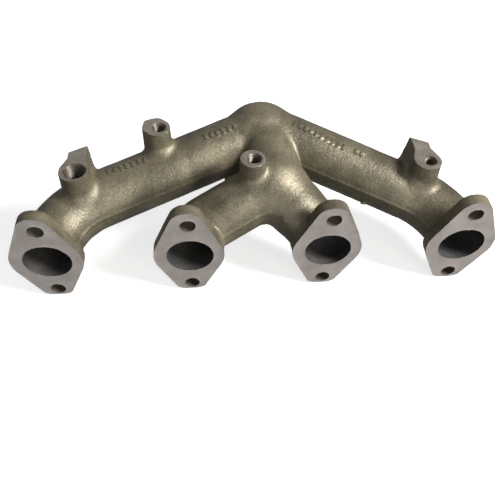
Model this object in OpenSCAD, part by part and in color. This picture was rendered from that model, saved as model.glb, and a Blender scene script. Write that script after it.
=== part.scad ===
// Four-into-one cast iron exhaust manifold.
//
// Frame: the head face of the four port flanges is the plane y = 0 and the
// ports look toward -Y. X runs along the port row, Z is up, and the origin is
// the middle of the port row. One casting is split into regions that meet
// face to face; each region is one node.

/* [Ports] */
// Distance between neighbouring port centres
port_pitch = 110; // [109:0.5:111]
// Diameter of each gas passage
port_bore_d = 37; // [36:0.5:37.5]
// Wall thickness of the runners
wall = 4.5; // [4:0.25:4.75]

/* [Port flanges] */
// Thickness of a port flange
flange_t = 10; // [9:0.5:10.5]
// Distance between the two bolt holes of a flange
bolt_spacing = 71; // [69:0.5:74]
// Diameter of a flange bolt hole
bolt_hole_d = 12; // [10:0.5:13]
// Radius of the flange around the port
flange_body_r = 27.8; // [27:0.1:29]
// Radius of the upper ear
upper_ear_r = 13.5; // [12:0.5:15]
// Radius of the lower ear before it is cut flat
lower_ear_r = 12.5; // [11:0.5:14]
// Distance from the lower hole centre down to the flat edge
lower_ear_flat = 7.7; // [7:0.1:9]

/* [Runners] */
// Bend radius of the two outer runners
outer_bend_r = 52; // [50:1:54]
// Corner of the left outer runner, measured from the head face
left_corner_y = 46; // [45:0.5:47]
// Corner of the right outer runner, measured from the head face
right_corner_y = 39; // [38:0.5:40]
// Bend radius of the left inner runner
inner_bend_r = 24; // [24:0.5:26]
// Corner of the left inner runner, measured from the head face
inner_corner_y = 23.5; // [23:0.5:25]
// Elbow of the right inner runner, measured from the head face
elbow_y = 11; // [10.5:0.5:12]
// Extra radius of the cast balls that round the elbow and the junctions
ball_extra = 1; // [0.8:0.1:1.5]

/* [Collector] */
// Outer radius of the upright collector pot
pot_r = 26; // [25.5:0.5:27]
// Radius of the gas space in the pot and the outlet
outlet_bore_r = 21.5; // [20:0.5:22]
// Length of the outlet neck below the runners
neck_len = 14; // [10:1:20]
// Thickness of the outlet flange
outlet_flange_t = 12; // [10:1:14]
// Radius of the outlet flange around the bore
outlet_flange_r = 28; // [27.5:0.5:30]
// Radius of the ears of the outlet flange
outlet_ear_r = 13; // [11:0.5:14]
// Distance between the two outlet bolt holes
outlet_bolt_spacing = 70; // [68:1:76]
// Diameter of an outlet bolt hole
outlet_bolt_d = 11; // [9:0.5:12]

/* [Bosses] */
// Height of the two outer bosses above the port axis
low_boss_z = 47; // [45:0.5:50]
// Height of the two heat shield bosses above the port axis
high_boss_z = 60; // [58:0.5:63]
// Outer radius of the sensor boss
sensor_boss_r = 11.3; // [11:0.1:12.5]
// Diameter of the sensor thread
sensor_thread_d = 16; // [14:1:16]
// Outer radius of the three smaller bosses
boss_r = 10.4; // [9.8:0.1:11.5]
// Diameter of the thread in the smaller bosses
boss_thread_d = 10; // [8:1:10]
// Depth of the blind threads
thread_depth = 13; // [10:1:13]
// Distance that the holes sit off the boss axes, toward +X
hole_shift = 1.2; // [0:0.1:1.5]
// Depth of the lead-in chamfer at a thread
lead_in = 0.8; // [0.5:0.1:1.2]

/* [Lugs] */
// Width of the upright lugs behind the outer bosses
lug_w = 14; // [12:0.5:16]
// Distance from a boss axis to the near side of its lug's rear edge
lug_outer_reach = 22; // [20:1:24]
// Distance from a boss axis to the far side of its lug's rear edge
lug_inner_reach = 29.5; // [27:0.5:31]

/* [Hidden] */
$fn = 96;
iron = [0.55, 0.51, 0.40];
dark_iron = [0.40, 0.37, 0.30];
machined = [0.68, 0.65, 0.62];

bore_r = port_bore_d / 2;
tube_r = bore_r + wall;
ball_r = tube_r + ball_extra;
bore_ball_r = bore_r + ball_extra / 2;
port_x = [for (i = [0:3]) (i - 1.5) * port_pitch];
overrun = 30;
bore_overrun = 7;
// The straight runs are this much fuller than the bends, so that the two
// surfaces meet without lying exactly tangent
seam = 0.05;

// Meeting points of the runner axes
apex = [12, 107, 34];
fork = [15, 50, 26];
pot_axis = [5, 106];
pot_z = 34.5;

// Lengths of the stubs that belong to the junction and the collector
fork_stub = 20;
left_stub = 34;
right_stub = 40;
duct_stub = 40;

// Boss axes on the runners
sensor_at = [-141.8, 51];
bracket_at = [138.8, 50.3];
shield_left_at = [-77.1, 84.8];
shield_centre_at = [-3.6, 44.8];
lug_offset = 6.2;
lug_bottom = 8;
boss_root = 8;

// Unit vector from one point to another
function toward(from, to) = (to - from) / norm(to - from);

// Corner point of each runner, in front of its port
function corner_of(port, y) = [port_x[port], y, 0];

// Lays the +Z axis of its children along a direction, starting at a point
module aim(point, dir) {
    translate(point)
        rotate([0, acos(dir.z), atan2(dir.y, dir.x)])
            children();
}

// Straight rod between a point and a distance along a direction
module rod(point, dir, len, r) {
    aim(point, dir)
        cylinder(h = len, r = r);
}

// Runner that leaves a port along +Y, bends once and runs straight toward a
// target, ending a trim distance short of it
module bent_runner(port, corner_y, bend_r, target, trim, r) {
    corner = corner_of(port, corner_y);
    dir = toward(corner, target);
    turn = acos(dir.y);
    side = atan2(dir.z, dir.x);
    tangent = bend_r * tan(turn / 2);
    run = norm(target - corner) - tangent - trim;
    translate([port_x[port], 0, 0])
        rotate([0, -side, 0]) {
            rotate([-90, 0, 0])
                cylinder(h = corner_y - tangent, r = r + seam);
            translate([bend_r, corner_y - tangent, 0])
                rotate([0, 0, 180])
                    rotate_extrude(angle = -turn)
                        translate([bend_r, 0])
                            circle(r = r);
            translate([bend_r * (1 - cos(turn)), corner_y - tangent + bend_r * sin(turn), 0])
                rotate([0, 0, -turn])
                    rotate([-90, 0, 0])
                        cylinder(h = run, r = r + seam);
        }
}

// Runner of the third port: a ball elbow right behind the flange, then straight
module elbow_runner(trim, r, elbow_r) {
    corner = corner_of(2, elbow_y);
    translate([corner.x, 0, 0])
        rotate([-90, 0, 0])
            cylinder(h = elbow_y, r = r);
    translate(corner)
        sphere(r = elbow_r);
    rod(corner, toward(corner, fork), norm(fork - corner) - trim, r);
}

// Ear circle beyond a flange circle, with the tangents that join the two
module ear(body_r, ear_r, reach) {
    lean = asin((body_r - ear_r) / reach);
    body_pt = (body_r + seam) * [cos(lean), sin(lean)];
    ear_pt = [0, reach] + (ear_r + seam) * [cos(lean), sin(lean)];
    translate([0, reach])
        circle(r = ear_r);
    polygon([
        body_pt,
        ear_pt,
        [-ear_pt.x, ear_pt.y],
        [-body_pt.x, body_pt.y]
    ]);
}

// Outline of a port flange around its port centre, drawn in X and Z
module flange_outline() {
    reach = bolt_spacing / 2;
    intersection() {
        union() {
            circle(r = flange_body_r);
            ear(flange_body_r, upper_ear_r, reach);
            mirror([0, 1])
                ear(flange_body_r, lower_ear_r, reach);
        }
        translate([-flange_body_r - 1, -reach - lower_ear_flat])
            square([2 * flange_body_r + 2, 3 * reach]);
    }
}

// Extrudes an X-Z outline from one y to another in front of a port
module at_port(port, y0, y1) {
    translate([port_x[port], y1, 0])
        rotate([90, 0, 0])
            linear_extrude(height = y1 - y0)
                children();
}

// Everything in front of the back face of the flanges, around one port
module ahead_of(port, y) {
    translate([port_x[port] - 2 * tube_r, y - overrun, -2 * tube_r])
        cube([4 * tube_r, overrun, 4 * tube_r]);
}

module port_flange(port) {
    color(machined)
        difference() {
            at_port(port, 0, flange_t)
                flange_outline();
            at_port(port, -1, flange_t + 1)
                circle(r = bore_r);
            for (up = [-1, 1])
                at_port(port, -1, flange_t + 1)
                    translate([0, up * bolt_spacing / 2])
                        circle(r = bolt_hole_d / 2);
        }
}

module outer_left_solid(r, trim = left_stub) {
    bent_runner(0, left_corner_y, outer_bend_r, apex, trim, r);
}

module outer_right_solid(r, trim = right_stub) {
    bent_runner(3, right_corner_y, outer_bend_r, apex, trim, r);
}

module inner_left_solid(r, trim = fork_stub) {
    bent_runner(1, inner_corner_y, inner_bend_r, fork, trim, r);
}

module outer_runner_left() {
    color(iron)
        difference() {
            outer_left_solid(tube_r);
            outer_left_solid(bore_r, left_stub - 1);
            ahead_of(0, flange_t);
        }
}

module outer_runner_right() {
    color(iron)
        difference() {
            outer_right_solid(tube_r);
            outer_right_solid(bore_r, right_stub - 1);
            ahead_of(3, flange_t);
        }
}

module inner_runner_left() {
    color(iron)
        difference() {
            inner_left_solid(tube_r);
            inner_left_solid(bore_r, fork_stub - 1);
            ahead_of(1, flange_t);
        }
}

module inner_runner_right() {
    color(iron)
        difference() {
            elbow_runner(fork_stub, tube_r, ball_r);
            elbow_runner(fork_stub - 1, bore_r, bore_ball_r);
            ahead_of(2, 0);
            at_port(2, -1, flange_t)
                flange_outline();
        }
}

// Where the two inner runners meet and turn into the centre duct
module fork_solid(r, centre_r, extra = 0) {
    left_corner = corner_of(1, inner_corner_y);
    right_corner = corner_of(2, elbow_y);
    duct_len = norm(apex - fork) - duct_stub;
    translate(fork)
        sphere(r = centre_r);
    rod(fork, toward(fork, left_corner), fork_stub + extra, r);
    rod(fork, toward(fork, right_corner), fork_stub + extra, r);
    rod(fork, toward(fork, apex), duct_len + extra, r);
}

module inner_junction() {
    color(iron)
        difference() {
            fork_solid(tube_r, ball_r);
            fork_solid(bore_r, bore_ball_r, bore_overrun);
        }
}

// Upright pot with a domed top, as a solid of revolution
module pot(r, bottom) {
    translate([pot_axis.x, pot_axis.y, bottom])
        rotate_extrude()
            union() {
                square([r, pot_z - bottom]);
                translate([0, pot_z - bottom])
                    intersection() {
                        circle(r = r);
                        square([r, r]);
                    }
            }
}

// The three ducts that enter the collector, meeting at the apex
module apex_ducts(r, centre_r, extra = 0) {
    translate(apex)
        sphere(r = centre_r);
    rod(apex, toward(apex, corner_of(0, left_corner_y)), left_stub + extra, r);
    rod(apex, toward(apex, corner_of(3, right_corner_y)), right_stub + extra, r);
    rod(apex, toward(apex, fork), duct_stub + extra, r);
}

module collector() {
    color(iron)
        difference() {
            union() {
                pot(pot_r, 0);
                apex_ducts(tube_r, ball_r);
            }
            pot(outlet_bore_r, -1);
            apex_ducts(bore_r, bore_ball_r, bore_overrun);
        }
}

module outlet_neck() {
    color(iron)
        translate([pot_axis.x, pot_axis.y, -neck_len])
            difference() {
                cylinder(h = neck_len, r = pot_r);
                translate([0, 0, -1])
                    cylinder(h = neck_len + 2, r = outlet_bore_r);
            }
}

// Two-bolt oval outline of the outlet flange
module outlet_outline() {
    reach = outlet_bolt_spacing / 2;
    circle(r = outlet_flange_r);
    ear(outlet_flange_r, outlet_ear_r, reach);
    mirror([0, 1])
        ear(outlet_flange_r, outlet_ear_r, reach);
}

module outlet_flange() {
    color(machined)
        translate([pot_axis.x, pot_axis.y, -neck_len - outlet_flange_t])
            difference() {
                linear_extrude(height = outlet_flange_t)
                    outlet_outline();
                translate([0, 0, -1])
                    cylinder(h = outlet_flange_t + 2, r = outlet_bore_r);
                for (side = [-1, 1])
                    translate([0, side * outlet_bolt_spacing / 2, -1])
                        cylinder(h = outlet_flange_t + 2, r = outlet_bolt_d / 2);
            }
}

// Upright boss with a blind thread; the children are the casting it stands on
module threaded_boss(at, top, r, thread_r) {
    difference() {
        translate([at.x, at.y, boss_root])
            cylinder(h = top - boss_root, r = r);
        translate([at.x + hole_shift, at.y, top - thread_depth])
            cylinder(h = thread_depth + 1, r = thread_r);
        translate([at.x + hole_shift, at.y, top - lead_in])
            cylinder(h = 2 * lead_in, r1 = thread_r, r2 = thread_r + 2 * lead_in);
        children();
    }
}

// Plan outline of the lug behind an outer boss; inward is +1 toward +X
module lug_outline(inward) {
    near_x = -lug_offset * inward;
    far_x = near_x + lug_w * inward;
    polygon([
        [near_x, 0],
        [far_x, 0],
        [far_x, lug_inner_reach],
        [near_x, lug_outer_reach]
    ]);
}

module upright_lug(at, inward, r) {
    difference() {
        translate([at.x, at.y, lug_bottom])
            linear_extrude(height = low_boss_z - lug_bottom)
                lug_outline(inward);
        translate([at.x, at.y, 0])
            cylinder(h = low_boss_z + 1, r = r);
        children();
    }
}

module sensor_boss() {
    color(iron)
        threaded_boss(sensor_at, low_boss_z, sensor_boss_r, sensor_thread_d / 2)
            outer_left_solid(tube_r);
}

module sensor_boss_lug() {
    color(dark_iron)
        upright_lug(sensor_at, 1, sensor_boss_r)
            outer_left_solid(tube_r);
}

module bracket_boss() {
    color(iron)
        threaded_boss(bracket_at, low_boss_z, boss_r, boss_thread_d / 2)
            outer_right_solid(tube_r);
}

module bracket_boss_lug() {
    color(dark_iron)
        upright_lug(bracket_at, -1, boss_r)
            outer_right_solid(tube_r);
}

module shield_boss_left() {
    color(iron)
        threaded_boss(shield_left_at, high_boss_z, boss_r, boss_thread_d / 2)
            outer_left_solid(tube_r);
}

// Square corner pad that backs the left shield boss
module shield_boss_left_pad() {
    color(dark_iron)
        difference() {
            translate([shield_left_at.x - boss_r + 0.8, shield_left_at.y - 1, boss_root])
                cube([boss_r - 0.8, boss_r, high_boss_z - boss_root]);
            translate([shield_left_at.x, shield_left_at.y, 0])
                cylinder(h = high_boss_z + 1, r = boss_r);
            outer_left_solid(tube_r);
        }
}

module shield_boss_centre() {
    color(iron)
        threaded_boss(shield_centre_at, high_boss_z, boss_r, boss_thread_d / 2)
            fork_solid(tube_r, ball_r, overrun);
}

port_flange(0);  // port_flange_1
port_flange(1);  // port_flange_2
port_flange(2);  // port_flange_3
port_flange(3);  // port_flange_4
outer_runner_left();
inner_runner_left();
inner_runner_right();
outer_runner_right();
inner_junction();
collector();
outlet_neck();
outlet_flange();
sensor_boss();
sensor_boss_lug();
bracket_boss();
bracket_boss_lug();
shield_boss_left();
shield_boss_left_pad();
shield_boss_centre();
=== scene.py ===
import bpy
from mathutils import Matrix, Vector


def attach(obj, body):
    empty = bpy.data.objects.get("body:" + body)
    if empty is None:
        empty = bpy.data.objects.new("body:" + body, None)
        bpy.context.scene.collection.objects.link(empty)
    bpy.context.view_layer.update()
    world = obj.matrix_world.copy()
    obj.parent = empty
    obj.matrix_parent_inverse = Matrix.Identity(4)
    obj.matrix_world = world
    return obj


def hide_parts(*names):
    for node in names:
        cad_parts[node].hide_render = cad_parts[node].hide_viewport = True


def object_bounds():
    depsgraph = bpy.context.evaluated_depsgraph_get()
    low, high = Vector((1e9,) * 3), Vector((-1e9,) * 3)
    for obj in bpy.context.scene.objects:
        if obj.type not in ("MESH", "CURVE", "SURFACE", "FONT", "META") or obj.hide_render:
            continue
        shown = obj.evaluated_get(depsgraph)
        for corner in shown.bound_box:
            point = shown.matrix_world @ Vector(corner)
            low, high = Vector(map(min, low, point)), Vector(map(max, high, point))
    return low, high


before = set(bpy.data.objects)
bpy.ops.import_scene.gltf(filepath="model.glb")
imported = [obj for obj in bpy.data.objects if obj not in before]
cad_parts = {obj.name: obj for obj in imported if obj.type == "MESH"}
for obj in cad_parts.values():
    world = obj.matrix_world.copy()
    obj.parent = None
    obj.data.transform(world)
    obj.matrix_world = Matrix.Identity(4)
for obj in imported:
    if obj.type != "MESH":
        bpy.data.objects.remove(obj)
cad_box = [list(c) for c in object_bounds()]

import math

import bpy
import numpy as np
from mathutils import Matrix, Vector, noise

# ---------------------------------------------------------------- dimensions
# All shape work is in millimetres in the row frame; meshes are made in metres.
MM = 0.001
PORT_X = (-165.0, -55.0, 55.0, 165.0)
# gas passages, and the runners around them
BORE_R = 18.5
BORE_BALL_R = 19.0
TUBE_R = 23.0
BALL_R = 24.0
LEFT_TUBE_R = 23.5
# port flanges
FLANGE_T = 10.0
FLANGE_R = 27.8
FLANGE_SHIFT = 0.8
UPPER_EAR_R = 13.5
LOWER_EAR_R = 12.5
EAR_REACH = 35.5
LOWER_FLAT = 7.7
LOWER_CORNER_R = 4.0
BOLT_R = 6.0
# where the runners meet, and a burr of flash on the right outer runner
APEX = np.array([12.0, 107.0, 34.0])
FORK = np.array([15.0, 50.0, 26.0])
FLASH = np.array([93.6, 47.6, 3.4])
FLASH_R = 1.6
# collector pot and outlet
POT = np.array([5.0, 106.0])
POT_Z = 33.5
POT_R = 26.0
POT_BOTTOM = -20.0
OUTLET_R = 21.5
NECK_BOTTOM = -14.0
OUTLET_FACE = -26.0
OUTLET_FLANGE_R = 28.0
OUTLET_EAR_R = 13.0
OUTLET_EAR_REACH = 35.0
OUTLET_BOLT_R = 5.5
# name: (x, y, top z, outer radius, hole radius, height of the split)
BOSSES = {
    "sensor_boss": (-141.8, 51.0, 47.0, 11.1, 8.0, 29.5),
    "bracket_boss": (138.8, 50.3, 47.0, 10.5, 5.0, 29.5),
    "shield_boss_left": (-77.1, 84.8, 60.0, 10.2, 5.0, 42.5),
    "shield_boss_centre": (-3.6, 44.8, 60.0, 9.8, 5.0, 44.5),
}
BOSS_ROOT = 6.0
BOSS_DRAFT = 0.03
# nothing stands above a boss's top within this distance of its axis
TOP_REACH = 40.0
HOLE_SHIFT = 1.2
HOLE_DEPTH = 13.0
LEAD_IN = 0.8
# name of the boss, side on which its lug reaches inward, draft of the lug
LUGS = (("sensor_boss", 1, 0.06), ("bracket_boss", -1, 0.13))
LUG_OFFSET = 6.2
LUG_W = 14.0
LUG_REACH = (29.5, 22.0)
LUG_BOTTOM = 8.0
# radii of the cast edges
PLATE_EDGE_R = 1.3
LUG_EDGE_R = 0.9
PAD_EDGE_R = 1.4
BOSS_EDGE_R = 0.6
# radii of the fillets where shapes meet on the outside
FORK_FILLET_R = 9.0
DUCT_FILLET_R = 3.5
OUTER_FILLET_R = 4.0
VALLEY_FILLET_R = 3.0
POT_FILLET_R = 4.0
FLANGE_FILLET_R = 3.2
OUTLET_FILLET_R = 1.9
LUG_FILLET_R = 6.0
PAD_FILLET_R = 4.5
BOSS_FILLET_R = 6.5
FLASH_FILLET_R = 1.5
# and inside, where the gas passages meet
INNER_PASSAGE_FILLET_R = 5.0
ELBOW_PASSAGE_FILLET_R = 2.0
OUTER_PASSAGE_FILLET_R = 6.0
POT_PASSAGE_FILLET_R = 4.0
# farther than anything on the part
FAR = 1e9
GRID = 1.15


# ------------------------------------------------------- distances to shapes
def unit(v):
    """The vector scaled to length 1."""
    v = np.asarray(v, float)
    return v / np.linalg.norm(v)


def to_segment(p, a, b):
    """Distance of points to the segment a-b."""
    a, b = np.asarray(a, p.dtype), np.asarray(b, p.dtype)
    ab = b - a
    q = p - a
    t = np.clip(q @ ab / (ab @ ab), 0, 1)
    return np.linalg.norm(q - t[:, None] * ab, axis=1)


class Run:
    """Centreline that leaves a port along +Y, bends once and goes straight on to a target."""

    def __init__(self, x, corner_y, bend_r, target):
        corner = np.array([x, corner_y, 0.0])
        self.way = unit(target - corner)
        turn = math.acos(self.way[1])
        self.side = unit([self.way[0], 0, self.way[2]])
        self.flat = np.cross([0, 1, 0], self.side)
        self.turn, self.bend_r = turn, bend_r
        self.lead = bend_r * math.tan(turn / 2)
        self.base = np.array([x, corner_y - self.lead, 0.0])
        self.tail = float(np.linalg.norm(target - corner)) - self.lead

    def local(self, p):
        """Coordinates along the port, toward the bend and over its plane."""
        q = p - self.base
        return q[:, 1], q @ self.side, q @ self.flat

    def distance(self, p):
        """Distance to the centreline, and the height over the plane of the bend."""
        a, b, w = self.local(p)
        r, t = self.bend_r, self.turn
        first = np.hypot(np.maximum(a, 0), b)
        angle = np.clip(np.arctan2(a, r - b), 0, t)
        arc = np.hypot(a - r * np.sin(angle), b - r * (1 - np.cos(angle)))
        ea, eb = r * math.sin(t), r * (1 - math.cos(t))
        s = np.clip((a - ea) * math.cos(t) + (b - eb) * math.sin(t), 0, self.tail)
        last = np.hypot(a - ea - s * math.cos(t), b - eb - s * math.sin(t))
        return np.hypot(np.minimum(np.minimum(first, arc), last), w), w


def fillet(a, b, r):
    """Union of two shapes with a round fillet of radius r."""
    return np.maximum(r, np.minimum(a, b)) - np.hypot(
        np.maximum(r - a, 0), np.maximum(r - b, 0)
    )


def two_circle_hull(x, z, r1, r2, h):
    """Distance in a plane to the hull of a circle at 0 and one at h along z."""
    x = np.abs(x)
    b = (r1 - r2) / h
    a = math.sqrt(1 - b * b)
    k = -b * x + a * z
    return np.where(
        k < 0,
        np.hypot(x, z) - r1,
        np.where(k > a * h, np.hypot(x, z - h) - r2, a * x + b * z - r1),
    )


def polygon(x, y, pts):
    """Distance in a plane to a polygon with its corners in turn."""
    d = np.full(x.shape, FAR)
    sign = np.ones(x.shape)
    for (x0, y0), (x1, y1) in zip(pts, pts[1:] + pts[:1]):
        ex, ey = x1 - x0, y1 - y0
        wx, wy = x - x0, y - y0
        t = np.clip((wx * ex + wy * ey) / (ex * ex + ey * ey), 0, 1)
        d = np.minimum(d, np.hypot(wx - ex * t, wy - ey * t))
        c1, c2, c3 = y >= y0, y < y1, ex * wy > ey * wx
        sign = np.where((c1 & c2 & c3) | (~c1 & ~c2 & ~c3), -sign, sign)
    return sign * d


def slab(outline, z, z0, z1, r=0.0):
    """An outline extruded from z0 to z1, its edges rounded by r."""
    u, v = outline + r, np.abs(z - (z0 + z1) / 2) - (z1 - z0) / 2 + r
    return np.minimum(np.maximum(u, v), 0) + np.hypot(np.maximum(u, 0), np.maximum(v, 0)) - r


LEFT = Run(PORT_X[0], 46.0, 52.0, APEX)
RIGHT = Run(PORT_X[3], 39.0, 58.0, APEX)
INNER = Run(PORT_X[1], 23.5, 24.0, FORK)
ELBOW = np.array([PORT_X[2], 11.0, 0.0])
MARK_PITCH = 5.0
MARK_SIZE = (1.25, 2.8, 0.9)
# run, first bar's distance from the apex, number of bars, angle from upright, slant
MARKS = (
    (LEFT, 102.0, 7, 6.0, -0.12),
    (LEFT, 24.0, 6, 12.0, -0.06),
    (RIGHT, 20.0, 10, -4.5, -0.06),
    (RIGHT, 76.0, 2, -9.0, -0.06),
)


def duct_line(n=9, bend_r=62.0):
    """The third port's line: elbow, then a wide bend at the fork up to the apex."""
    d0, d1 = unit(FORK - ELBOW), unit(APEX - FORK)
    turn = math.acos(d0 @ d1)
    lead = bend_r * math.tan(turn / 2)
    start = FORK - lead * d0
    side = unit(d1 - (d1 @ d0) * d0)
    return [
        start + bend_r * (math.sin(k * turn / n) * d0 + (1 - math.cos(k * turn / n)) * side)
        for k in range(n + 1)
    ]


SWEEP = duct_line()


def swept(p):
    """Distance to the third port's line."""
    d = to_segment(p, SWEEP[0], SWEEP[1])
    for a, b in zip(SWEEP[1:], SWEEP[2:]):
        d = np.minimum(d, to_segment(p, a, b))
    return d


def fillet_cut(a, b, r):
    """Intersection of two shapes with the edge rounded by r."""
    return np.minimum(-r, np.maximum(a, b)) + np.hypot(
        np.maximum(r + a, 0), np.maximum(r + b, 0)
    )


def flange_outline(x, z):
    """Distance in a plane to a port flange: a round body, two ears, and a flat below."""
    x = x + FLANGE_SHIFT
    d = np.minimum(
        two_circle_hull(x, z, FLANGE_R, UPPER_EAR_R, EAR_REACH),
        two_circle_hull(x, -z, FLANGE_R, LOWER_EAR_R, EAR_REACH),
    )
    return fillet_cut(d, -(z + EAR_REACH + LOWER_FLAT), LOWER_CORNER_R)


def outlet_outline(x, y):
    """Distance in a plane to the outlet flange: a round body with two ears."""
    size = (OUTLET_FLANGE_R, OUTLET_EAR_R, OUTLET_EAR_REACH)
    return np.minimum(
        two_circle_hull(x - POT[0], y - POT[1], *size),
        two_circle_hull(x - POT[0], POT[1] - y, *size),
    )


def parting(w, size=0.55, width=1.3):
    """Height of the parting ridge at a distance w from the parting surface."""
    return size * np.exp(-((w / width) ** 2))


def lug_points(x, y, inward):
    """Outline of the lug behind the boss at (x, y), longer on its inward side."""
    near, far = x - LUG_OFFSET * inward, x + (LUG_W - LUG_OFFSET) * inward
    pts = [(near, y), (far, y), (far, y + LUG_REACH[0]), (near, y + LUG_REACH[1])]
    return pts if inward > 0 else pts[::-1]


def pad_points():
    """Outline of the flat pad on the left shield boss."""
    x, y, _, r, *_ = BOSSES["shield_boss_left"]
    return [(x - r + 0.3, y - 1), (x, y - 1), (x, y + r - 0.6), (x - r + 0.3, y + r - 2)]


def raised_marks(p):
    """Rows of plain low bars on the outer runners, where a foundry puts its marks."""
    d = np.full(len(p), FAR)
    for run, start, count, lean, drift in MARKS:
        q = p - APEX
        s = q @ -run.way
        across = unit(np.cross(run.way, [0, 0, 1]))
        above = np.cross(across, run.way)
        u, v = q @ across, q @ above
        arc = (np.arctan2(u, v) - math.radians(lean)) * TUBE_R - drift * (s - start)
        cell = (s - start) % MARK_PITCH - MARK_PITCH / 2
        bar = np.maximum(np.abs(cell) - MARK_SIZE[0], np.abs(arc) - MARK_SIZE[1])
        skin_r = LEFT_TUBE_R if run is LEFT else TUBE_R
        bar = np.maximum(bar, np.abs(np.hypot(u, v) - skin_r) - MARK_SIZE[2])
        ends = np.maximum(start - s, s - start - count * MARK_PITCH)
        d = np.minimum(d, np.maximum(bar, ends))
    return d


def outside_runners(p):
    """Signed distance to the runners, the ducts and the collector pot, all solid."""
    x, y, z = p[:, 0], p[:, 1], p[:, 2]
    left, left_w = LEFT.distance(p)
    right, right_w = RIGHT.distance(p)
    inner, inner_w = INNER.distance(p)
    left = left - LEFT_TUBE_R - parting(left_w)
    right = right - TUBE_R - parting(right_w)
    inner = inner - TUBE_R - parting(inner_w)
    elbow = np.minimum(
        to_segment(p, ELBOW, FORK) - TUBE_R, np.linalg.norm(p - ELBOW, axis=1) - BALL_R
    )
    duct = np.minimum(to_segment(p, FORK, APEX) - TUBE_R, swept(p) - TUBE_R)
    duct = np.minimum(duct, np.linalg.norm(p - FORK, axis=1) - BALL_R)
    around = np.hypot(x - POT[0], y - POT[1])
    pot = slab(around - POT_R, z, POT_BOTTOM, POT_Z)
    pot = np.minimum(pot, np.hypot(around, z - POT_Z) - POT_R)
    d = fillet(duct, fillet(inner, elbow, FORK_FILLET_R), DUCT_FILLET_R)
    d = fillet(d, fillet(left, right, OUTER_FILLET_R), VALLEY_FILLET_R)
    d = fillet(d, pot, POT_FILLET_R)
    d = np.minimum(d, raised_marks(p))
    burr = np.linalg.norm((p - FLASH) * [0.5, 1, 1], axis=1) - FLASH_R
    return fillet(d, burr, FLASH_FILLET_R)


def outside_shape(p):
    """Signed distance to the casting without its hollows."""
    x, y, z = p[:, 0], p[:, 1], p[:, 2]
    d = outside_runners(p)
    for port in PORT_X:
        plate = slab(flange_outline(x - port, z), y, -5.0, FLANGE_T, PLATE_EDGE_R)
        d = fillet(d, plate, FLANGE_FILLET_R)
    plate = slab(outlet_outline(x, y), z, OUTLET_FACE - 6.0, NECK_BOTTOM, PLATE_EDGE_R)
    d = fillet(d, np.maximum(plate, OUTLET_FACE - z), OUTLET_FILLET_R)
    for name, inward, draft in LUGS:
        bx, by, top = BOSSES[name][:3]
        outline = polygon(x, y, lug_points(bx, by, inward)) - draft * (top - z)
        d = fillet(d, slab(outline, z, LUG_BOTTOM, top, LUG_EDGE_R), LUG_FILLET_R)
    top = BOSSES["shield_boss_left"][2]
    pad = slab(polygon(x, y, pad_points()), z, LUG_BOTTOM, top, PAD_EDGE_R)
    d = fillet(d, pad, PAD_FILLET_R)
    for bx, by, top, r, *_ in BOSSES.values():
        away = np.hypot(x - bx, y - by)
        boss = slab(away - r - BOSS_DRAFT * (top - z), z, BOSS_ROOT, top, BOSS_EDGE_R)
        d = fillet(d, boss, BOSS_FILLET_R)
        d = np.where(away < TOP_REACH, np.maximum(d, z - top), d)
    return np.maximum(d, -y)


def gas_passages(p):
    """Signed distance to the gas passages."""
    x, y, z = p[:, 0], p[:, 1], p[:, 2]
    inner = INNER.distance(p)[0] - BORE_R
    elbow = to_segment(p, ELBOW - [0, 30, 0], ELBOW) - BORE_R
    elbow = np.minimum(elbow, to_segment(p, ELBOW, FORK) - BORE_R)
    elbow = np.minimum(elbow, np.linalg.norm(p - ELBOW, axis=1) - BORE_BALL_R)
    duct = np.minimum(to_segment(p, FORK, APEX) - BORE_R, swept(p) - BORE_R)
    d = fillet(duct, inner, INNER_PASSAGE_FILLET_R)
    d = fillet(d, elbow, ELBOW_PASSAGE_FILLET_R)
    outer = np.minimum(LEFT.distance(p)[0], RIGHT.distance(p)[0]) - BORE_R
    d = fillet(d, outer, OUTER_PASSAGE_FILLET_R)
    around = np.hypot(x - POT[0], y - POT[1])
    pot = np.minimum(
        np.maximum(around - OUTLET_R, z - POT_Z),
        np.hypot(around, z - POT_Z) - OUTLET_R,
    )
    return fillet(d, pot, POT_PASSAGE_FILLET_R)


def hollow_shape(p):
    """Signed distance to the gas passages, bolt holes and threaded holes."""
    x, y, z = p[:, 0], p[:, 1], p[:, 2]
    d = gas_passages(p)
    for port in PORT_X:
        for up in (-EAR_REACH, EAR_REACH):
            away = np.hypot(x - port, z - up)
            d = np.minimum(d, np.maximum(away - BOLT_R, y - FLANGE_T - 2))
    for side in (-OUTLET_EAR_REACH, OUTLET_EAR_REACH):
        away = np.hypot(x - POT[0], y - POT[1] - side)
        d = np.minimum(d, np.maximum(away - OUTLET_BOLT_R, z - NECK_BOTTOM - 4))
    for bx, by, top, _, hole, _ in BOSSES.values():
        away = np.hypot(x - bx - HOLE_SHIFT, y - by)
        lead = (away - hole - LEAD_IN + (top - z)) * math.sqrt(0.5)
        d = np.minimum(d, np.minimum(np.maximum(away - hole, top - HOLE_DEPTH - z), lead))
    return d


def casting(p):
    """Signed distance to the finished casting."""
    return np.maximum(outside_shape(p), -hollow_shape(p))


# ------------------------------------------------------ regions of the casting
NODES = [
    "port_flange_1", "port_flange_2", "port_flange_3", "port_flange_4",
    "outer_runner_left", "inner_runner_left", "inner_runner_right", "outer_runner_right",
    "inner_junction", "collector", "outlet_neck", "outlet_flange",
    "sensor_boss", "sensor_boss_lug", "bracket_boss", "bracket_boss_lug",
    "shield_boss_left", "shield_boss_left_pad", "shield_boss_centre",
]
CODE = {n: i for i, n in enumerate(NODES)}


# length of each runner's stub that belongs to the collector or to the inner junction
LEFT_STUB = 40.0
RIGHT_STUB = 44.0
INNER_STUB = 34.0
FORK_STUB = 20.0
DUCT_STUB = 42.0


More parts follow.
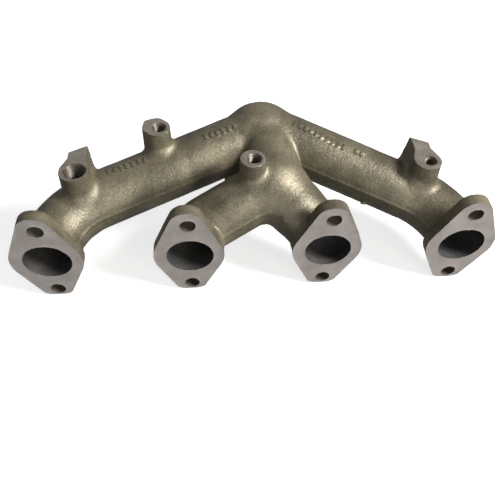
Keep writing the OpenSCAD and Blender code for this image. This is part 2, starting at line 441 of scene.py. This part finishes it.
def boss_regions(p, out):
    """Give the bosses, their lugs and the pad their share of the points."""
    x, y, z = p[:, 0], p[:, 1], p[:, 2]
    for name, (bx, by, _, r, _, split) in BOSSES.items():
        out[(np.hypot(x - bx, y - by) < r + 9) & (z > split)] = CODE[name]
    for name, inward, _ in LUGS:
        bx, by, _, r, _, split = BOSSES[name]
        away = np.hypot(x - bx, y - by)
        here = (z > split) & (y > by + 9) & (away > r - 0.5) & (away < 40)
        here &= np.abs(x - bx - 1.7 * inward) < 12
        out[here] = CODE[name + "_lug"]
    bx, by, _, r, _, split = BOSSES["shield_boss_left"]
    away = np.hypot(x - bx, y - by)
    here = (z > split) & (away > r - 0.6) & (away < 22) & (y > by - 1) & (x < bx)
    out[here] = CODE["shield_boss_left_pad"]


def region(p):
    """The node that each point of the casting belongs to."""
    x, y, z = p[:, 0], p[:, 1], p[:, 2]
    around = np.hypot(x - POT[0], y - POT[1])
    ways = np.stack([
        LEFT.distance(p)[0],
        RIGHT.distance(p)[0],
        INNER.distance(p)[0],
        to_segment(p, ELBOW, FORK),
        to_segment(p, FORK, APEX),
        around + np.maximum(z - 15, 0) + 4,
    ])
    near = ways.argmin(0)
    from_apex, from_fork = p - APEX, p - FORK
    out = np.full(len(p), CODE["collector"], np.int8)
    out[(near == 0) & (from_apex @ -LEFT.way > LEFT_STUB)] = CODE["outer_runner_left"]
    out[(near == 1) & (from_apex @ -RIGHT.way > RIGHT_STUB)] = CODE["outer_runner_right"]
    out[(near == 2) | (near == 3)] = CODE["inner_junction"]
    out[(near == 2) & (from_fork @ -INNER.way > INNER_STUB)] = CODE["inner_runner_left"]
    along = from_fork @ unit(ELBOW - FORK)
    out[(near == 3) & (along > FORK_STUB)] = CODE["inner_runner_right"]
    along = from_apex @ unit(FORK - APEX)
    out[(near == 4) & (along > DUCT_STUB)] = CODE["inner_junction"]
    out[(around < 34) & (z < 0)] = CODE["outlet_neck"]
    out[(around < 60) & (z < NECK_BOTTOM - 0.4) & (y > 50)] = CODE["outlet_flange"]
    boss_regions(p, out)
    for i, port in enumerate(PORT_X):
        out[(np.abs(x - port) < 50) & (y < FLANGE_T + 0.5)] = CODE[NODES[i]]
    return out


# ------------------------------------------------------------- dual contouring
AIR = -1
# the six different products of the three parts of a normal
PAIRS = ((0, 0), (0, 1), (0, 2), (1, 1), (1, 2), (2, 2))
# step in mm for slopes
PROBE = 0.05
# directions in which a cell's skin is flatter than this don't move its vertex
FLATNESS = 0.08
# share of a cell that its vertex keeps from the cell's sides
INSET = 0.02
SETTLE_ROUNDS = 12


def in_chunks(f, p, size=400000):
    """f of many points, a share at a time."""
    return np.concatenate([f(p[i:i + size]) for i in range(0, len(p), size)])


def square(grid, k):
    """The four corners, in turn, of every grid square that lies across axis k."""
    g = np.moveaxis(grid, k, 0)
    return g[:, :-1, :-1], g[:, 1:, :-1], g[:, 1:, 1:], g[:, :-1, 1:]


def settle(label, value):
    """Give one more sample to any region that meets itself only across a diagonal."""
    for _ in range(SETTLE_ROUNDS):
        moved = 0
        for k in range(3):
            corners, depth = square(label, k), square(value, k)
            for j in range(2):
                one, other = corners[j], corners[j + 2]
                left, right = corners[j + 1], corners[(j + 3) % 4]
                pinched = (one == other) & (one >= 0) & (left != one) & (right != one)
                use_right = pinched & (left < 0) & (right >= 0)
                right[use_right] = one[use_right]
                use_left = pinched & ~use_right
                depth[j + 1][use_left & (left < 0)] = -0.01
                left[use_left] = one[use_left]
                moved += int(pinched.sum())
        if moved == 0:
            break


def sample(lo, n, h, step=12):
    """Distance to the casting, and the region, at every point of the grid."""
    axes = [lo[k] + h * np.arange(n[k]) for k in range(3)]
    value = np.empty(n, np.float32)
    label = np.full(n, AIR, np.int8)
    yz = np.stack(np.meshgrid(axes[1], axes[2], indexing="ij"), -1).reshape(-1, 2)
    for i in range(0, n[0], step):
        xs = axes[0][i:i + step]
        p = np.column_stack([np.repeat(xs, len(yz)), np.tile(yz, (len(xs), 1))])
        distance = casting(p)
        inside = distance < 0
        share = np.full(len(p), AIR, np.int8)
        if inside.any():
            share[inside] = region(p[inside])
        value[i:i + step] = distance.reshape(len(xs), n[1], n[2])
        label[i:i + step] = share.reshape(len(xs), n[1], n[2])
    settle(label, value)
    return value, label


def changing_edges(label, k):
    """Start points of the grid edges along axis k whose two ends differ in region."""
    grid = np.moveaxis(label, k, 0)
    change = np.moveaxis(grid[:-1] != grid[1:], 0, k)
    at = np.argwhere(change)
    for m in {0, 1, 2} - {k}:
        at = at[(at[:, m] > 0) & (at[:, m] < label.shape[m] - 1)]
    return at


def crossings(start, k, h, value, t):
    """Where grid edges along axis k cut the surface, and the normals there."""
    low, high = np.zeros(len(start)), np.ones(len(start))
    for turn in range(4):
        p = start.copy()
        p[:, k] += t * h
        distance = in_chunks(casting, p)
        same = (distance < 0) == (value < 0)
        low, high = np.where(same, t, low), np.where(same, high, t)
        t = (low + high) / 2 if turn % 2 else np.clip(
            t + np.where(value < 0, -distance, distance) / h, low, high)
    p = start.copy()
    p[:, k] += t * h
    normal = np.empty_like(p)
    for m, step in enumerate(PROBE * np.eye(3)):
        normal[:, m] = in_chunks(casting, p + step) - in_chunks(casting, p - step)
    normal /= np.maximum(np.linalg.norm(normal, axis=1, keepdims=True), 1e-9)
    return p, normal


class Cells:
    """Sums kept for every cell of the grid, from which its one vertex is worked out."""

    def __init__(self, lo, shape, h):
        self.lo, self.shape, self.h = lo, shape, h
        self.total = int(np.prod(shape))
        self.products = np.zeros((self.total, 6), np.float32)
        self.offsets = np.zeros((self.total, 3), np.float32)
        self.skin_sum = np.zeros((self.total, 3), np.float32)
        self.skin_count = np.zeros(self.total, np.float32)
        self.edge_sum = np.zeros((self.total, 3), np.float32)
        self.edge_count = np.zeros(self.total, np.float32)

    def around(self, at, k):
        """The four cells, in turn, around each grid edge along axis k."""
        u, v = (k + 1) % 3, (k + 2) % 3
        out = []
        for du, dv in ((-1, -1), (0, -1), (0, 0), (-1, 0)):
            cell = at.copy()
            cell[:, u] += du
            cell[:, v] += dv
            out.append(np.ravel_multi_index(tuple(cell.T), self.shape))
        return np.stack(out, 1)

    def corner(self, rows):
        """Lowest corner of each cell."""
        return self.lo + self.h * np.stack(np.unravel_index(rows, self.shape), 1)

    def gather(self, rows, values, sums):
        """Add one row of values to its cell's sums."""
        for m in range(values.shape[1]):
            sums[:, m] += np.bincount(rows, values[:, m], self.total).astype(np.float32)

    def add_edges(self, around, p):
        """Count the middle of any edge, on the skin or between two regions."""
        rows = around.ravel()
        self.gather(rows, np.repeat(p, 4, 0) - self.corner(rows), self.edge_sum)
        self.edge_count += np.bincount(rows, minlength=self.total).astype(np.float32)

    def add_skin(self, around, p, normal):
        """Count a point on the skin, and the plane of the skin there."""
        rows = around.ravel()
        normal = np.repeat(normal, 4, 0)
        local = np.repeat(p, 4, 0) - self.corner(rows)
        along = np.einsum("ij,ij->i", normal, local)
        products = np.stack([normal[:, i] * normal[:, j] for i, j in PAIRS], 1)
        self.gather(rows, products, self.products)
        self.gather(rows, normal * along[:, None], self.offsets)
        self.gather(rows, local, self.skin_sum)
        self.skin_count += np.bincount(rows, minlength=self.total).astype(np.float32)

    def vertices(self, used):
        """One vertex for each used cell, on the crease or corner of the skin if it has one."""
        local = self.edge_sum[used] / self.edge_count[used][:, None]
        has_skin = self.skin_count[used] > 0
        rows = used[has_skin]
        mean = (self.skin_sum[rows] / self.skin_count[rows][:, None]).astype(float)
        matrix = np.empty((len(rows), 3, 3))
        for m, (i, j) in enumerate(PAIRS):
            matrix[:, i, j] = matrix[:, j, i] = self.products[rows, m]
        size, axes = np.linalg.eigh(matrix)
        rest = self.offsets[rows] - np.einsum("ijk,ik->ij", matrix, mean)
        good = size > FLATNESS * size[:, -1:]
        inverse = np.where(good, 1 / np.where(good, size, 1), 0)
        move = np.einsum("ijk,ik->ij", axes, inverse * np.einsum("ikj,ik->ij", axes, rest))
        local[has_skin] = np.clip(mean + move, INSET * self.h, (1 - INSET) * self.h)
        return self.corner(used) + local


def contour(lo, hi, h):
    """Dual contouring of the casting on a grid.

    Returns vertices, quads, and the region on each side of each quad.
    """
    n = np.ceil((hi - lo) / h).astype(int) + 1
    value, label = sample(lo, n, h)
    cells = Cells(lo, tuple(n - 1), h)
    quads, sides = [], []
    for k in range(3):
        at = changing_edges(label, k)
        far = at.copy()
        far[:, k] += 1
        here, there = label[tuple(at.T)], label[tuple(far.T)]
        value_a = value[tuple(at.T)].astype(float)
        value_b = value[tuple(far.T)].astype(float)
        skin = (here < 0) != (there < 0)
        start = lo + at * h
        t = np.where(skin, value_a / np.where(skin, value_a - value_b, 1), 0.5)
        p = start.copy()
        p[:, k] += t * h
        around = cells.around(at, k)
        cells.add_edges(around, p)
        cells.add_skin(around[skin], *crossings(start[skin], k, h, value_a[skin], t[skin]))
        quads.append(around)
        sides.append(np.stack([here, there], 1))
    used, local = np.unique(np.concatenate(quads), return_inverse=True)
    return cells.vertices(used), local.reshape(-1, 4), np.concatenate(sides)


lo_box = np.array(cad_box[0]) / MM - 4.3 * GRID
hi_box = np.array(cad_box[1]) / MM + 4.1 * GRID
verts, quads, sides = contour(lo_box, hi_box, GRID)
# a quad of the skin faces from its region to the air
flip = sides[:, 0] < 0
quads[flip] = quads[flip][:, ::-1]
sides[flip] = sides[flip][:, ::-1]
is_skin = sides[:, 1] < 0
skin_quads = quads[is_skin]

# ------------------------------------------------- machined and cast surfaces
CAST, MILLED, SPOT_FACED, DRILLED, PASSAGE = range(5)


def drilled_faces(centre):
    """Faces that lie in a bolt hole or a threaded hole."""
    x, y, z = centre[:, 0], centre[:, 1], centre[:, 2]
    drilled = np.zeros(len(centre), bool)
    for port in PORT_X:
        for up in (-EAR_REACH, EAR_REACH):
            away = np.hypot(x - port, z - up)
            drilled |= (away < BOLT_R + 0.4) & (y < FLANGE_T + 1)
    for side in (-OUTLET_EAR_REACH, OUTLET_EAR_REACH):
        away = np.hypot(x - POT[0], y - POT[1] - side)
        drilled |= (away < OUTLET_BOLT_R + 0.4) & (z < NECK_BOTTOM + 1)
    for bx, by, top, _, hole, _ in BOSSES.values():
        away = np.hypot(x - bx - HOLE_SHIFT, y - by)
        deep = (z > top - HOLE_DEPTH - 1) & (z < top)
        drilled |= (away < hole + LEAD_IN + 0.3) & deep
    return drilled


def finish_codes(centre, normal):
    """The finish of each face of the skin."""
    x, y, z = centre[:, 0], centre[:, 1], centre[:, 2]
    milled = (normal[:, 1] < -0.9) & (np.abs(y) < 0.25)
    milled |= (normal[:, 2] < -0.9) & (np.abs(z - OUTLET_FACE) < 0.25)
    spot = np.zeros(len(centre), bool)
    for bx, by, top, *_ in BOSSES.values():
        flat = (np.abs(z - top) < 0.3) & (normal[:, 2] > 0.9)
        spot |= flat & (np.hypot(x - bx, y - by) < 45)
    # these passage faces get the near-black material, which is painted shade inside the bores
    passage = (np.abs(in_chunks(hollow_shape, centre)) < 0.4) & (y > 0.2)
    drilled = drilled_faces(centre)
    return np.select([milled, drilled, spot, passage], [MILLED, DRILLED, SPOT_FACED, PASSAGE], CAST)


corners = verts[skin_quads]
normal = np.cross(corners[:, 2] - corners[:, 0], corners[:, 3] - corners[:, 1])
normal /= np.maximum(np.linalg.norm(normal, axis=1, keepdims=True), 1e-9)
finish_of = finish_codes(corners.mean(1), normal)

# height in mm, waves to the mm and offset of each layer of sand-cast unevenness
UNEVENNESS = ((0.16, 0.055, (0, 0, 0)), (0.10, 0.17, (9, 4, 2)), (0.07, 0.42, (3, 7, 5)))
# it is on everything that was not cut by a tool
vertex_normal = np.zeros((len(verts), 3))
for c in range(4):
    np.add.at(vertex_normal, skin_quads[:, c], normal)
vertex_normal /= np.maximum(np.linalg.norm(vertex_normal, axis=1, keepdims=True), 1e-9)
moving = np.zeros(len(verts), bool)
moving[skin_quads.ravel()] = True
moving[skin_quads[np.isin(finish_of, (MILLED, SPOT_FACED, DRILLED))].ravel()] = False
for i in np.flatnonzero(moving):
    p = Vector(verts[i])
    lift = sum(height * noise.noise(p * waves + Vector(offset))
               for height, waves, offset in UNEVENNESS)
    verts[i] += vertex_normal[i] * lift

# the whole skin as one mesh, for the normals that its pieces share across their seams
whole = bpy.data.meshes.new("whole_skin")
whole.from_pydata((verts * MM).tolist(), [], skin_quads.tolist())
whole.polygons.foreach_set("use_smooth", np.ones(len(skin_quads), bool))
whole.set_sharp_from_angle(angle=math.radians(42))
corner_normals = np.empty(len(skin_quads) * 12, np.float32)
whole.corner_normals.foreach_get("vector", corner_normals)
corner_normals = corner_normals.reshape(-1, 4, 3)
bpy.data.meshes.remove(whole)


# ------------------------------------------------------------------ materials
def nodes_of(name, base, rough):
    """A new material with its node tree and its main shader."""
    mat = bpy.data.materials.new(name)
    mat.use_nodes = True
    tree = mat.node_tree
    bsdf = tree.nodes["Principled BSDF"]
    bsdf.inputs["Base Color"].default_value = (*base, 1)
    bsdf.inputs["Roughness"].default_value = rough
    return mat, tree, bsdf


def add(tree, kind, **inputs):
    """A new node with the given input values."""
    node = tree.nodes.new(kind)
    for key, value in inputs.items():
        node.inputs[key.replace("_", " ")].default_value = value
    return node


def noise_node(tree, coord, scale, detail=6.0, rough=0.6, distortion=0.0):
    """Noise in object coordinates, so that it runs on from one piece to the next."""
    node = add(tree, "ShaderNodeTexNoise", Scale=scale, Detail=detail, Roughness=rough,
               Distortion=distortion)
    tree.links.new(coord.outputs["Object"], node.inputs["Vector"])
    return node


def ramp(tree, source, stops):
    """A colour ramp driven by a source, with a stop at each (position, colour)."""
    node = tree.nodes.new("ShaderNodeValToRGB")
    band = node.color_ramp
    while len(band.elements) < len(stops):
        band.elements.new(0.5)
    for element, (at, colour) in zip(band.elements, stops):
        element.position = at
        element.color = (*colour, 1)
    tree.links.new(source, node.inputs["Fac"])
    return node


def cast_iron(name, dark, mid, light, metal, rough):
    """Sand-cast iron: cloudy tone, a speckle of sand grains, and a rough skin."""
    mat, tree, bsdf = nodes_of(name, mid, 0.5)
    coord = tree.nodes.new("ShaderNodeTexCoord")
    broad = noise_node(tree, coord, 26.0, 6.0, 0.62, 0.4)
    colour = ramp(tree, broad.outputs["Fac"], [(0.32, dark), (0.50, mid), (0.70, light)])
    grain = noise_node(tree, coord, 700.0, 4.0, 0.72)
    speck = ramp(tree, grain.outputs["Fac"], [
        (0.32, (0.50, 0.48, 0.45)), (0.50, (1.0, 1.0, 1.0)), (0.72, (1.45, 1.40, 1.30))])
    mix = tree.nodes.new("ShaderNodeMix")
    mix.data_type, mix.blend_type = "RGBA", "MULTIPLY"
    mix.inputs["Factor"].default_value = 0.7
    tree.links.new(colour.outputs["Color"], mix.inputs["A"])
    tree.links.new(speck.outputs["Color"], mix.inputs["B"])
    tree.links.new(mix.outputs["Result"], bsdf.inputs["Base Color"])
    shine = ramp(tree, noise_node(tree, coord, 70.0, 5.0).outputs["Fac"], [
        (0.3, (rough - 0.09,) * 3), (0.7, (rough + 0.10,) * 3)])
    tree.links.new(shine.outputs["Color"], bsdf.inputs["Roughness"])
    bsdf.inputs["Metallic"].default_value = metal
    fine = noise_node(tree, coord, 1500.0, 3.0, 0.7)
    small = add(tree, "ShaderNodeBump", Strength=0.35, Distance=0.0005)
    tree.links.new(fine.outputs["Fac"], small.inputs["Height"])
    sand = noise_node(tree, coord, 480.0, 4.0, 0.65)
    large = add(tree, "ShaderNodeBump", Strength=0.32, Distance=0.0012)
    tree.links.new(sand.outputs["Fac"], large.inputs["Height"])
    tree.links.new(small.outputs["Normal"], large.inputs["Normal"])
    tree.links.new(large.outputs["Normal"], bsdf.inputs["Normal"])
    return mat


def cut_iron(name, dark, mid, light, metal, rough):
    """Iron cut by a tool: fine feed lines under a thin stain."""
    mat, tree, bsdf = nodes_of(name, mid, rough)
    coord = tree.nodes.new("ShaderNodeTexCoord")
    broad = noise_node(tree, coord, 55.0, 6.0, 0.65)
    colour = ramp(tree, broad.outputs["Fac"], [(0.32, dark), (0.52, mid), (0.70, light)])
    tree.links.new(colour.outputs["Color"], bsdf.inputs["Base Color"])
    bsdf.inputs["Metallic"].default_value = metal
    wave = add(tree, "ShaderNodeTexWave", Scale=260.0, Distortion=1.5, Detail=2.0)
    wave.bands_direction = "DIAGONAL"
    tree.links.new(coord.outputs["Object"], wave.inputs["Vector"])
    fine = noise_node(tree, coord, 1500.0, 3.0, 0.7)
    small = add(tree, "ShaderNodeBump", Strength=0.15, Distance=0.0002)
    tree.links.new(wave.outputs["Fac"], small.inputs["Height"])
    large = add(tree, "ShaderNodeBump", Strength=0.25, Distance=0.0003)
    tree.links.new(fine.outputs["Fac"], large.inputs["Height"])
    tree.links.new(small.outputs["Normal"], large.inputs["Normal"])
    tree.links.new(large.outputs["Normal"], bsdf.inputs["Normal"])
    return mat


# in the order of the finish codes
FINISHES = [
    cast_iron("cast_iron", (0.072, 0.064, 0.045), (0.124, 0.111, 0.077),
              (0.190, 0.170, 0.118), 0.52, 0.41),
    cut_iron("milled_iron", (0.252, 0.230, 0.218), (0.310, 0.285, 0.272),
             (0.36, 0.334, 0.320), 0.35, 0.45),
    cut_iron("spot_faced_iron", (0.105, 0.098, 0.080), (0.150, 0.140, 0.116),
             (0.20, 0.188, 0.160), 0.4, 0.5),
    # drilled iron tone, darkened further as painted shade inside the bolt holes and threaded holes
    cut_iron("drilled_iron_painted_shade", (0.055, 0.046, 0.037), (0.090, 0.077, 0.062),
             (0.13, 0.112, 0.092), 0.5, 0.42),
    # near-black colours here are painted shade: they stand in for the shade deep inside the gas
    # passages
    cast_iron("passage_painted_shade", (0.016, 0.017, 0.018), (0.030, 0.030, 0.030),
              (0.052, 0.050, 0.043), 0.2, 0.6),
]


# --------------------------------------------------------------------- pieces
def place(obj):
    """Put an object in the scene, on the casting's body."""
    bpy.context.scene.collection.objects.link(obj)
    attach(obj, "root")


def piece(name, region_code):
    """One closed piece: its share of the skin, and the faces where it meets its neighbours."""
    mine = is_skin & (sides[:, 0] == region_code)
    ahead = ~is_skin & (sides[:, 0] == region_code)
    behind = ~is_skin & (sides[:, 1] == region_code)
    faces = np.concatenate([quads[mine], quads[ahead], quads[behind][:, ::-1]])
    skin_rows = (np.cumsum(is_skin) - 1)[mine]
    used, local = np.unique(faces, return_inverse=True)
    local = local.reshape(-1, 4)
    mesh = bpy.data.meshes.new(name)
    mesh.from_pydata((verts[used] * MM).tolist(), [], local.tolist())
    mesh.polygons.foreach_set("use_smooth", np.ones(len(local), bool))
    material = np.zeros(len(local), np.int32)
    material[:len(skin_rows)] = finish_of[skin_rows]
    for finish in FINISHES:
        mesh.materials.append(finish)
    mesh.polygons.foreach_set("material_index", material)
    pts = verts[faces[len(skin_rows):]]
    flat = np.cross(pts[:, 2] - pts[:, 0], pts[:, 3] - pts[:, 1])
    flat /= np.maximum(np.linalg.norm(flat, axis=1, keepdims=True), 1e-9)
    normals = np.concatenate([corner_normals[skin_rows], np.repeat(flat[:, None], 4, 1)])
    mesh.normals_split_custom_set(normals.reshape(-1, 3).tolist())
    mesh.update()
    obj = bpy.data.objects.new(name + "_skin", mesh)
    place(obj)
    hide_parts(name)


THREAD_PITCH = 1.5
THREAD_DEPTH = 0.75
THREAD_FACETS = 72
RINGS_PER_PITCH = 8
# the thread's root stands this far inside the hole, and the sleeve's back lies in the wall
THREAD_PROUD = 0.06
THREAD_BACK = 0.35


def ring(bx, by, z, radius):
    """Points of one ring of a thread; the radius depends on the turn from 0 to 1."""
    turns = [k / THREAD_FACETS for k in range(THREAD_FACETS)]
    return [(bx + HOLE_SHIFT + radius(t) * math.cos(2 * math.pi * t),
             by + radius(t) * math.sin(2 * math.pi * t), z) for t in turns]


def thread(name, boss):
    """The cut thread in a boss: a thin sleeve set into the hole, with a helical inner face."""
    bx, by, top, _, hole, _ = BOSSES[boss]
    z0, z1 = top - HOLE_DEPTH - 0.3, top - LEAD_IN
    rings = int((z1 - z0) / THREAD_PITCH * RINGS_PER_PITCH) + 1
    pts = []
    for i in range(rings + 1):
        z = z0 + (z1 - z0) * i / rings
        fade = min(1.0, (z1 - z) / 0.8 + 0.15)

        def inner_radius(t):
            phase = ((z - z0) / THREAD_PITCH - t) % 1.0
            tooth = max(0.0, 1.0 - abs(phase - 0.5) * 2.4)
            return hole - THREAD_PROUD - THREAD_DEPTH * tooth * fade

        pts += ring(bx, by, z, inner_radius)
    for z in (z0, z1):
        pts += ring(bx, by, z, lambda t: hole + THREAD_BACK)
    top_row = rings * THREAD_FACETS
    low, high = top_row + THREAD_FACETS, top_row + 2 * THREAD_FACETS
    faces = []
    for k in range(THREAD_FACETS):
        n = (k + 1) % THREAD_FACETS
        for a in range(0, top_row, THREAD_FACETS):
            b = a + THREAD_FACETS
            faces.append((a + k, b + k, b + n, a + n))
        faces.append((top_row + k, high + k, high + n, top_row + n))
        faces.append((high + k, low + k, low + n, high + n))
        faces.append((low + k, k, n, low + n))
    mesh = bpy.data.meshes.new(name)
    mesh.from_pydata((np.array(pts) * MM).tolist(), [], faces)
    mesh.polygons.foreach_set("use_smooth", np.ones(len(faces), bool))
    mesh.set_sharp_from_angle(angle=math.radians(50))
    # the thread takes the drilled material, darkened with painted shade
    mesh.materials.append(FINISHES[DRILLED])
    place(bpy.data.objects.new(name, mesh))


for boss in BOSSES:
    thread(boss + "_thread", boss)

for node_name in NODES:
    piece(node_name, CODE[node_name])

# ----------------------------------------------------------- floor and lights
FLOOR_Z = -0.0445
FLOOR_REACH = 6.0
floor_mesh = bpy.data.meshes.new("floor")
floor_mesh.from_pydata(
    [(x * FLOOR_REACH, y * FLOOR_REACH, FLOOR_Z) for x, y in ((-1, -1), (1, -1), (1, 1), (-1, 1))],
    [], [(0, 1, 2, 3)])
floor = bpy.data.objects.new("floor", floor_mesh)
bpy.context.scene.collection.objects.link(floor)
paper, _, paper_bsdf = nodes_of("paper", (0.42, 0.42, 0.42), 0.9)
paper_bsdf.inputs["Emission Color"].default_value = (1, 1, 1, 1)
paper_bsdf.inputs["Emission Strength"].default_value = 0.72
paper_bsdf.inputs["Specular IOR Level"].default_value = 0.0
floor_mesh.materials.append(paper)
floor.visible_diffuse = floor.visible_glossy = False

# a soft sky, darker toward the ground; each stop is a place on the ramp and its grey level
SKY = ((0.0, 0.26), (0.75, 0.50))
world = bpy.data.worlds.new("studio")
world.use_nodes = True
sky = world.node_tree
sky_coord = sky.nodes.new("ShaderNodeTexCoord")
sky_split = sky.nodes.new("ShaderNodeSeparateXYZ")
sky.links.new(sky_coord.outputs["Generated"], sky_split.inputs["Vector"])
sky_ramp = sky.nodes.new("ShaderNodeValToRGB")
for element, (at, level) in zip(sky_ramp.color_ramp.elements, SKY):
    element.position = at
    element.color = (level, level, level, 1)
sky_map = add(sky, "ShaderNodeMapRange")
sky_map.inputs["From Min"].default_value = -0.35
sky.links.new(sky_split.outputs["Z"], sky_map.inputs["Value"])
sky.links.new(sky_map.outputs["Result"], sky_ramp.inputs["Fac"])
sky.links.new(sky_ramp.outputs["Color"], sky.nodes["Background"].inputs["Color"])
sky.nodes["Background"].inputs["Strength"].default_value = 0.75
bpy.context.scene.world = world

MIDDLE = (0.0, 0.06, 0.0)


def area_light(name, at, size, watts, colour):
    """A round soft light that looks at the middle of the object."""
    light = bpy.data.lights.new(name, "AREA")
    light.shape = "DISK"
    light.size = size
    light.energy = watts
    light.color = colour
    obj = bpy.data.objects.new(name, light)
    obj.location = at
    way = Vector(MIDDLE) - Vector(at)
    obj.rotation_mode = "QUATERNION"
    obj.rotation_quaternion = way.to_track_quat("-Z", "Y")
    bpy.context.scene.collection.objects.link(obj)


area_light("key", (1.10, -0.36, 1.02), 0.55, 62.0, (1.0, 0.975, 0.93))
area_light("front", (0.75, -1.05, 0.30), 0.7, 9.0, (1.0, 0.98, 0.94))
area_light("low_front", (-0.45, -1.15, 0.0), 0.5, 4.5, (1.0, 0.99, 0.98))

# --------------------------------------------------------------------- camera
CAMERA_AT = (-0.038223, -0.274539, 0.347953)
LENS = 40.29
SENSOR_W = 36.0
camera_data = bpy.data.cameras.new("camera")
camera_data.lens = LENS
camera_data.sensor_width = SENSOR_W
camera_data.clip_start, camera_data.clip_end = 0.01, 30.0
camera = bpy.data.objects.new("camera", camera_data)
right = Vector((0.99670, -0.07610, 0.02800)).normalized()
forward = Vector((0.0690, 0.6230, -0.7790)).normalized()
up = right.cross(forward).normalized()
right = forward.cross(up).normalized()
turn = Matrix((right, up, -forward)).transposed()
camera.matrix_world = Matrix.Translation(CAMERA_AT) @ turn.to_4x4()
bpy.context.scene.collection.objects.link(camera)
bpy.context.scene.camera = camera
bpy.context.scene.view_settings.view_transform = "Standard"
